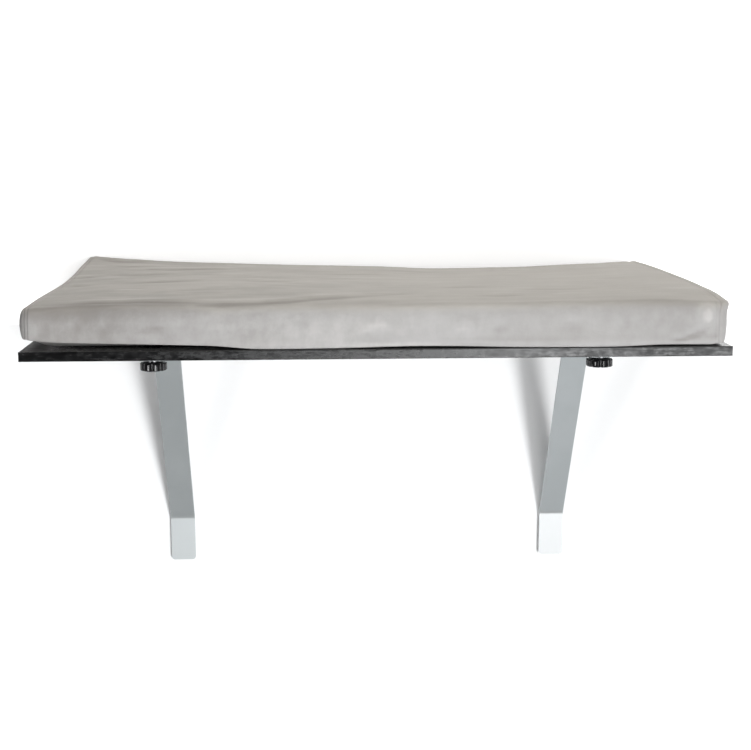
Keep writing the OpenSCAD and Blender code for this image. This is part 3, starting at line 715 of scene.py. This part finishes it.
def cushion_form():
    """The cushion at rest: each side row goes up by (1 - cos(angle)) / 2 of the height and out by its reach *
    sin(angle)^p, where p is 0.75 over the middle, and below it 0.5, or 0.05 at the front, which is square.
    Returns the points, the faces, each point's distance outside its end seam and the sheets' index."""
    xs, ys, plan, way, index, rim = cushion_skin()
    centre = (COVER[0] + COVER[1])[:2] / 2
    flat = plan.reshape(-1, 2) + centre
    from_left, from_front = (flat - centre - (xs[0], ys[0])).T
    top = np.column_stack([flat, top_heights(flat[:, 0], from_front / (ys[-1] - ys[0]))])
    base = np.column_stack([flat, underside(flat[:, 0], from_front, from_left)])
    way = way.reshape(-1, 2)[rim]
    rise = RISE_ANGLES[:, None]
    low_z, top_z = base[rim, 2], top[rim, 2]
    side_z = low_z + (top_z - low_z) * (1 - np.cos(rise)) / 2
    front = ease(-way[:, 1])
    out = np.sin(rise) ** np.where(rise < math.pi / 2, 0.5 - 0.45 * front, 0.75)
    side_xy = flat[rim][None] + way[None] * (END_REACH, FRONT_REACH) * out[..., None]
    sag = eased(FRONT_SAG, flat[rim, 0], 9 * MM) * MM
    side_xy[..., 1] -= sag * front * bell(side_z - low_z - 4 * MM, 7 * MM)
    side = np.concatenate([side_xy, side_z[..., None]], axis=-1)
    points = np.concatenate([base, top, side.reshape(-1, 3)])
    from_seam = np.where(points[:, 0] < 0, -points[:, 0] - SEAM_LEFT, points[:, 0] - SEAM_RIGHT)
    points[:, 0] += ends_drawn(points)
    return points, cushion_faces(index, rim), from_seam, index


def cushion_faces(index, rim):
    """Quads of the skin, each facing outwards: the underside, the top, and the rows between their rims."""
    count = index.size
    a, b = index[:-1, :-1].ravel(), index[1:, :-1].ravel()
    c, d = index[1:, 1:].ravel(), index[:-1, 1:].ravel()
    under = np.stack([a, d, c, b], -1)
    top = np.stack([a, b, c, d], -1) + count
    around, side_rows = len(rim), len(RISE_ANGLES)
    rows = 2 * count + np.arange(side_rows * around).reshape(side_rows, around)
    rows = np.concatenate([rim[None], rows, rim[None] + count])
    after = np.roll(rows, -1, axis=1)
    side = np.stack([rows[:-1], after[:-1], after[1:], rows[1:]], -1).reshape(-1, 4)
    return [under, top, side]


def gathered(corner, values, count):
    """The sum, for each of count points, of the rows of values at its corners."""
    return np.stack([np.bincount(corner, values[:, k], count) for k in range(3)], -1)


def outward(points, faces):
    """Each point's outward normal: the sum of its faces' cross products, made one long."""
    quads = np.concatenate(faces)
    a, b, c, d = points[quads].transpose(1, 0, 2)
    total = gathered(quads.ravel(), np.repeat(np.cross(c - a, d - b), 4, axis=0), len(points))
    return total / np.maximum(np.linalg.norm(total, axis=1, keepdims=True), 1e-12)


def crease(place, line, width):
    """A fold along a line: a valley exp(-(d/w)^2) with a lower ridge 1.7 widths to its left, faded at its
    ends."""
    line = np.array(line) * MM
    starts, steps = line[:-1], np.diff(line, axis=0)
    lengths = np.linalg.norm(steps, axis=1)
    along = ((place[:, None] - starts) * steps).sum(-1) / lengths**2
    held = np.clip(along, 0, 1)
    away = place[:, None] - (starts + held[..., None] * steps)
    nearest = np.linalg.norm(away, axis=-1).argmin(axis=1)
    row = np.arange(len(place))
    step, off = steps[nearest], away[row, nearest]
    side = np.sign(step[:, 0] * off[:, 1] - step[:, 1] * off[:, 0])
    distance = side * np.linalg.norm(off, axis=1) / (width * MM)
    before = np.concatenate([[0], np.cumsum(lengths)])[nearest]
    travelled = (before + held[row, nearest] * lengths[nearest]) / lengths.sum()
    fade = np.sin(math.pi * np.clip(travelled, 0.02, 0.98)) ** 0.6 * (travelled > 0) * (travelled < 1.001)
    return (0.6 * bell(distance - 1.7, 1) - bell(distance, 1)) * fade


# Folds of the top, as (points in millimetres, depth, width) with their rear side the higher one
TOP_FOLDS = [
    (
        [(-292, -286), (-272, -289), (-240, -290), (-207, -285), (-172, -289), (-137, -294), (-110, -292)],
        1.2, 7.0,
    ),
    (
        [(-156, -298), (-128, -294), (-100, -292), (-78, -286), (-58, -276), (-28, -266), (10, -256),
         (44, -250)],
        1.15, 7.0,
    ),
    ([(170, -298), (205, -297), (240, -300), (268, -301), (298, -302)], 0.6, 8.0),
    ([(-286, 14), (-262, 6), (-240, 8), (-222, 2)], 1.3, 4.5),
    ([(-272, -22), (-248, -30), (-226, -26), (-204, -30)], 1.3, 4.5),
    ([(-250, -58), (-222, -50), (-196, -54), (-160, -52), (-128, -58)], 1.5, 5.0),
    ([(-268, -84), (-240, -92), (-208, -88), (-180, -92)], 1.1, 5.5),
    ([(-298, -96), (-286, -92), (-268, -94)], 1.1, 5.0),
    ([(-250, -146), (-222, -150), (-180, -148), (-150, -152)], 1.0, 6.0),
    ([(-244, -208), (-226, -206), (-208, -207)], -1.0, 5.0),
    ([(-190, -226), (-160, -234), (-120, -238)], -0.8, 6.0),
    ([(-298, -160), (-280, -156), (-262, -158)], 0.9, 6.0),
    ([(-170, -110), (-140, -114), (-104, -112)], 0.8, 6.0),
    ([(-128, -156), (-96, -160), (-60, -158)], 0.8, 6.0),
    ([(-70, -132), (-30, -126), (12, -124), (44, -134)], -0.8, 5.0),
    ([(-44, -96), (-6, -90), (30, -92)], 0.7, 6.0),
    ([(50, -205), (80, -200), (112, -204)], 0.8, 6.0),
    ([(82, -262), (106, -266), (134, -264)], 0.9, 6.0),
    ([(120, -228), (152, -222), (184, -226), (210, -220)], 0.8, 6.0),
    ([(150, -262), (172, -256), (196, -260)], -0.8, 5.0),
    ([(18, -47), (48, -53), (80, -62)], 0.7, 7.0),
    ([(96, -96), (126, -92), (160, -98)], 0.6, 7.0),
    ([(215, -156), (242, -162), (272, -168)], 0.6, 7.0),
    ([(200, -60), (236, -66), (266, -62)], 0.5, 7.0),
]

# Folds of the front, as (points across and up in millimetres, depth, width)
FRONT_FOLDS = [
    ([(250, 15), (262, 17), (273, 21), (282, 27), (288, 33)], 1.1, 2.0),
    ([(-287, 19), (-284, 27), (-283, 36)], 0.6, 3.5),
    ([(-262, 24), (-256, 30), (-250, 40)], 0.6, 3.5),
    ([(-236, 22), (-230, 29), (-226, 38)], 0.5, 4.0),
    ([(-206, 26), (-190, 30), (-178, 29)], 0.7, 4.0),
    ([(-150, 20), (-132, 24), (-120, 22)], 0.4, 4.0),
    ([(-70, 30), (-62, 36), (-58, 42)], 0.4, 4.0),
    ([(-16, 20), (-2, 24), (10, 22)], 0.7, 4.0),
    ([(62, 24), (74, 30), (80, 22)], -0.7, 4.5),
    ([(96, 24), (104, 28), (112, 29)], 0.5, 3.5),
    ([(150, 26), (162, 30), (178, 28)], 0.4, 4.0),
    ([(206, 24), (214, 31), (216, 37)], 0.4, 5.0),
    ([(236, 28), (244, 34), (246, 40)], 0.4, 4.0),
]


def front_softened(points, faces):
    """The top front edge rounded over: each round moves a point a share of the way to its neighbours' mean.
    The share fades with the distance from the edge, and is largest in the middle of the width."""
    quads = np.concatenate(faces)
    ends = np.concatenate([quads[:, [k, (k + 1) % 4]] for k in range(4)])
    x, y, z = points.T
    edge = bell(y - COVER[0][1] - 8 * MM, 20 * MM) * bell(z - BOARD_TOP - 33 * MM, 13 * MM)
    share = (0.6 * eased(SOFTENED, x, 15 * MM) * edge)[:, None]
    degree = np.bincount(ends[:, 0], minlength=len(points))[:, None]
    rounds = 16
    for _ in range(rounds):
        mean = gathered(ends[:, 0], points[ends[:, 1]], len(points)) / degree
        points = points + (mean - points) * share
    return points


def ripples(place):
    """Many short shallow ripples that run mostly along the width, higher towards the left: seeded bell-shaped
    ridges of random place."""
    chance = np.random.default_rng(RIPPLE_SEED)
    total = np.zeros(len(place))
    for _ in range(RIPPLE_COUNT):
        centre = np.array([chance.uniform(-0.29, 0.29), chance.uniform(-0.3, 0.03)])
        turn, half_length = chance.normal(0, 0.16), chance.uniform(0.014, 0.045)
        width, height = chance.uniform(0.004, 0.008), chance.normal(0, 0.26 - 0.4 * centre[0]) * MM
        away = place - centre
        along = away @ (math.cos(turn), math.sin(turn))
        across = away @ (-math.sin(turn), math.cos(turn))
        total += height * bell(along, half_length) * bell(across, width)
    return total


def puffed(points, faces, held):
    """The skin after a short cloth simulation with air in it. Held points stay, no other goes further than
    the cap, and the move fades out towards the ends, the rear and the lower edge."""
    cap, frames = 2.5 * MM, 20
    skin = make_mesh("blown_skin", points, faces, bpy.data.materials.new("blown_skin"))
    group = skin.vertex_groups.new(name="held")
    group.add(np.flatnonzero(held).tolist(), 1.0, "REPLACE")
    cloth = skin.modifiers.new("cloth", "CLOTH")
    cloth.settings.quality = 6
    cloth.settings.mass = 0.25
    cloth.settings.tension_stiffness = cloth.settings.compression_stiffness = 12
    cloth.settings.bending_stiffness = 0.05
    cloth.settings.shrink_min = -0.035
    cloth.settings.use_pressure = True
    cloth.settings.uniform_pressure_force = 4.0
    cloth.settings.vertex_group_mass = "held"
    cloth.settings.effector_weights.gravity = 0.0
    for frame_number in range(1, frames + 1):
        bpy.context.scene.frame_set(frame_number)
    settled = skin.evaluated_get(bpy.context.evaluated_depsgraph_get()).data
    moved = np.empty(len(points) * 3)
    settled.vertices.foreach_get("co", moved)
    bpy.context.scene.frame_set(1)
    bpy.data.objects.remove(skin)
    step = moved.reshape(-1, 3) - points
    length = np.linalg.norm(step, axis=1, keepdims=True)
    step = step * np.minimum(1, cap / np.maximum(length, 1e-9))
    from_ends = ease((SEAM_RIGHT - np.abs(points[:, 0])) / (50 * MM))
    from_rear = 0.15 + 0.85 * ease((COVER[1][1] - 10 * MM - points[:, 1]) / (70 * MM))
    from_lip = ease((points[:, 2] - BOARD_TOP - 2 * MM) / (18 * MM))
    return points + step * (from_ends * from_rear * from_lip)[:, None]


def recessed_rear(points):
    """Which points are at the rear, and how far each lies towards the window: held in front of the zip's
    tape, and easing out beside, above and below it."""
    x, y, z = points.T
    zip_low, zip_high = span("cover_zip")
    beside = ease((zip_high[0] + 5 * MM - np.abs(x)) / (4 * MM))
    over = ease((zip_high[2] + 3 * MM - z) / (2.5 * MM)) * ease((z - zip_low[2] + 3 * MM) / (2.5 * MM))
    limit = zip_low[1] - 0.3 * MM
    return y > zip_low[1] - 6 * MM, y + (np.minimum(y, limit) - y) * beside * over


def sewn_and_creased(points, faces, from_seam):
    """The skin with its folds, ripples, drawn-in end seams, the ear at the right front corner and the zip's
    recess, and, for the cloth's colour, the fold heights with painted shade and light added: below 0 painted
    darker, above 0 paler."""
    normal = outward(points, faces)
    x, y, z = points.T
    facing_up = ease(normal[:, 2] / 0.6)
    facing_front = ease(-normal[:, 1] / 0.7)
    fold_and_painted_shade = np.zeros(len(points))
    for folds, plane, facing in ((TOP_FOLDS, [0, 1], facing_up), (FRONT_FOLDS, [0, 2], facing_front)):
        for line, depth, width in folds:
            fold_and_painted_shade += crease(points[:, plane], line, width) * depth * facing
    # The stuffed corner at the right of the front: a bulge, also painted paler as painted light
    cheek = bell(x - 283 * MM, 6 * MM) * bell(z - 38 * MM, 9 * MM)
    fold_and_painted_shade += 1.9 * cheek * facing_front
    fold_and_painted_shade += ripples(points[:, :2]) / MM * facing_up
    seam = from_seam / MM
    pucker = 0.22 * np.sin((y + z) / (1.35 * MM)) * bell(seam + 4, 3.5)
    push = fold_and_painted_shade + pucker - 0.7 * bell(seam, 2.4)
    moved = points + normal * push[:, None] * MM
    ear = eased(EAR, y, 4 * MM) * MM * bell(z - 48 * MM, 5.5 * MM)
    moved[:, 0] += ear * ease((x - 285 * MM) / (15 * MM))
    rear, rear_y = recessed_rear(points)
    moved[:, 1] = np.where(rear, rear_y, moved[:, 1])
    upper_edge = bell(y - COVER[0][1] - 5 * MM, 17 * MM) * ease((z - 32 * MM) / (14 * MM))
    # Painted light and shade on the front along the width, and painted shade on its upper edge
    fold_and_painted_shade += eased(FRONT_PAINTED_LIGHT, x, 12 * MM) * facing_front - eased(UPPER_EDGE_PAINTED_SHADE, x, 12 * MM) * upper_edge
    # Painted light and shade at the hem: pale just over the lower edge and dark above that
    up = (z - front_lip(x)) / MM
    hem_painted_light = ease((x + 60 * MM) / (90 * MM)) * facing_front * (from_seam < 0)
    fold_and_painted_shade += hem_painted_light * (0.5 * bell(up - 2.0, 1.4) - 0.6 * bell(up - 5.5, 1.3))
    return moved, fold_and_painted_shade


def make_cushion():
    """The cushion in its velour cover, blown up a little, creased and sewn, with the lower edge it shows."""
    points, faces, from_seam, index = cushion_form()
    held = from_seam > 0
    held[: index.size] = True
    points = puffed(points, faces, held)
    points = front_softened(points, faces)
    points, fold_and_painted_shade = sewn_and_creased(points, faces, from_seam)
    finish = velour("cover_cloth", (0.42, 0.407, 0.392), (0.502, 0.489, 0.474))
    cushion = make_mesh("velour_cushion", points, faces, finish)
    for name, values in (("fold_and_painted_shade", fold_and_painted_shade), ("from_seam", from_seam)):
        cushion.data.attributes.new(name, "FLOAT", "POINT").data.foreach_set("value", values)
    smooth = cushion.modifiers.new("smooth", "SUBSURF")
    smooth.levels = smooth.render_levels = 1
    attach(cushion, "cushion")
    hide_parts("cushion_cover", "foam_core")
    return cushion


# Camera, backdrop and light

CAMERA_PLACE = (-57.2 * MM, -1478.3 * MM, 193.0 * MM)
CAMERA_YAW, CAMERA_PITCH, CAMERA_ROLL = (math.radians(a) for a in (-2.633, -9.901, -0.086))
FOCAL_PIXELS = 1386.8
IMAGE_WIDTH = 751


def make_camera():
    """The photograph's camera: turned by its yaw, tipped down by its pitch, then rolled a little."""
    data = bpy.data.cameras.new("camera")
    data.sensor_width = 36.0
    data.lens = FOCAL_PIXELS / IMAGE_WIDTH * data.sensor_width
    camera = bpy.data.objects.new("camera", data)
    bpy.context.scene.collection.objects.link(camera)
    turn = Matrix.Rotation(CAMERA_YAW, 4, "Z") @ Matrix.Rotation(math.pi / 2 + CAMERA_PITCH, 4, "X")
    camera.matrix_world = Matrix.Translation(CAMERA_PLACE) @ turn @ Matrix.Rotation(CAMERA_ROLL, 4, "Z")
    bpy.context.scene.camera = camera


def wall_paint(name, glow):
    """White wall paint, a little darker to the right to even out the key's light. The camera sees it
    brighter by glow, and more so beyond the shelf's ends and low down, where shadows would grey it. It stops
    no light, and from behind it isn't there."""
    made, n, shader = material(name)
    grain = place_group(n, MOTTLE, Scale=4.0, Fine_scale=200.0)["Mask"]
    shade = n.mix(grain, colour(0.98, 0.98, 0.98), colour(0.99, 0.99, 0.99))
    place = n.parts(n.place())
    evened = n.remap(place[0], -0.3, 0.35, 0.945, 0.84, smooth=False)
    wall = n.add("ShaderNodeBsdfDiffuse", in_Color=n.mix(evened, colour(0, 0, 0), shade)).outputs[0]
    path = n.add("ShaderNodeLightPath").outputs
    mirrored = n.math("MAXIMUM", path["Is Glossy Ray"], path["Is Transmission Ray"])
    seen = n.math("MAXIMUM", path["Is Camera Ray"], mirrored)
    past_ends = n.remap(n.math("ABSOLUTE", place[0]), 0.34, 0.42, 0.0, 0.3)
    bright = n.plus(past_ends, glow, n.remap(place[2], -0.33, -0.6, 0.0, 0.3))
    glowing = n.times(seen, bright)
    light = n.add("ShaderNodeEmission", in_Color=colour(1, 1, 1), in_Strength=glowing).outputs[0]
    lit = n.add("ShaderNodeAddShader", in_0=wall, in_1=light).outputs[0]
    geometry = n.add("ShaderNodeNewGeometry").outputs
    from_rear = n.math("GREATER_THAN", n.parts(geometry["Incoming"])[1], 0.0)
    absent = n.math("MAXIMUM", geometry["Backfacing"], path["Is Shadow Ray"])
    absent = n.math("MAXIMUM", absent, n.times(from_rear, path["Is Camera Ray"]))
    clear = n.add("ShaderNodeBsdfTransparent").outputs[0]
    output = made.node_tree.nodes["Material Output"]
    n.put(output, "Surface", n.add("ShaderNodeMixShader", in_0=absent, in_1=lit, in_2=clear).outputs[0])
    made.node_tree.nodes.remove(shader)
    return made


def make_backdrop():
    """The wall under the sill, the sill's top and the window's plane behind it, as three plain sheets."""
    half, reach = 1.6, 1.2
    behind_board = 12 * MM
    window_y = BOARD[1][1] + behind_board
    sheets = {
        "backdrop_wall": ([(WALL_Y, -reach), (WALL_Y, 0.0)], 0.02),
        "backdrop_sill": ([(WALL_Y, 0.0), (window_y, 0.0)], 0.5),
        "backdrop_window": ([(window_y, 0.0), (window_y, reach)], 0.5),
    }
    for name, (line, glow) in sheets.items():
        points = np.array([(x, y, z) for y, z in line for x in (-half, half)])
        sheet = make_mesh(name, points, [[(0, 1, 3, 2)]], wall_paint(name, glow), smooth=False)


def area_light(name, place, target, size, watts, tint):
    """A square or oblong soft light that faces its target."""
    data = bpy.data.lights.new(name, "AREA")
    data.shape = "RECTANGLE"
    data.size, data.size_y = size
    data.energy = watts
    data.color = tint
    light = bpy.data.objects.new(name, data)
    light.location = place
    light.rotation_mode = "QUATERNION"
    light.rotation_quaternion = (Vector(target) - Vector(place)).to_track_quat("-Z", "Y")
    bpy.context.scene.collection.objects.link(light)


def make_lights():
    """A tall key from the front right, a low front light and a near fill, an overhead, two strips that the
    knobs mirror, a light from the floor, and two behind for the rear views."""
    cool, warm, plain = (0.98, 0.991, 1.0), (1.0, 0.965, 0.905), (1.0, 1.0, 1.0)
    area_light("key", (2.75, -9.2, -0.4), (0, -0.15, -0.08), (1.5, 4.1), 595.0, cool)
    area_light("low_front", (0.2, -1.25, -0.42), (0.0, -0.3, 0.0), (0.7, 0.5), 6.5, cool)
    area_light("near_right", (1.1, -1.7, -0.05), (0, -0.25, 0.0), (0.9, 0.9), 1.6, cool)
    area_light("overhead", (0.45, -0.25, 1.6), (0.1, -0.15, 0.0), (2.2, 1.4), 20.0, warm)
    area_light("right_strip", (1.5, -0.22, -0.25), (0.2, -0.28, -0.01), (0.2, 0.12), 2.5, plain)
    area_light("left_strip", (-0.95, -1.35, -0.238), (0.0, -0.28, -0.01), (0.2, 0.1), 3.0, plain)
    area_light("floor", (0.0, -0.8, -1.5), (0.0, -0.2, 0.0), (2.0, 2.0), 1.5, plain)
    area_light("rear", (-0.6, 2.6, 1.0), (0, 0, 0), (1.4, 1.4), 8.0, plain)
    area_light("low_rear", (0.5, 2.2, -0.5), (0, 0, -0.15), (1.2, 0.8), 18.0, plain)


def make_world():
    """Dim all-round light, with plain white where the camera looks past everything."""
    world = bpy.data.worlds.new("studio")
    bpy.context.scene.world = world
    world.use_nodes = True
    n = Nodes(world.node_tree)
    background = world.node_tree.nodes["Background"]
    seen = n.add("ShaderNodeLightPath").outputs["Is Camera Ray"]
    dim = 0.04
    n.put(background, "Strength", n.remap(seen, 0.0, 1.0, dim, 1.0, smooth=False))
    background.inputs["Color"].default_value = colour(1, 1, 1)


bpy.context.scene.view_settings.view_transform = "Standard"
make_camera()
make_world()
make_lights()
make_backdrop()
dress_solids()
make_knobs()
make_cushion()
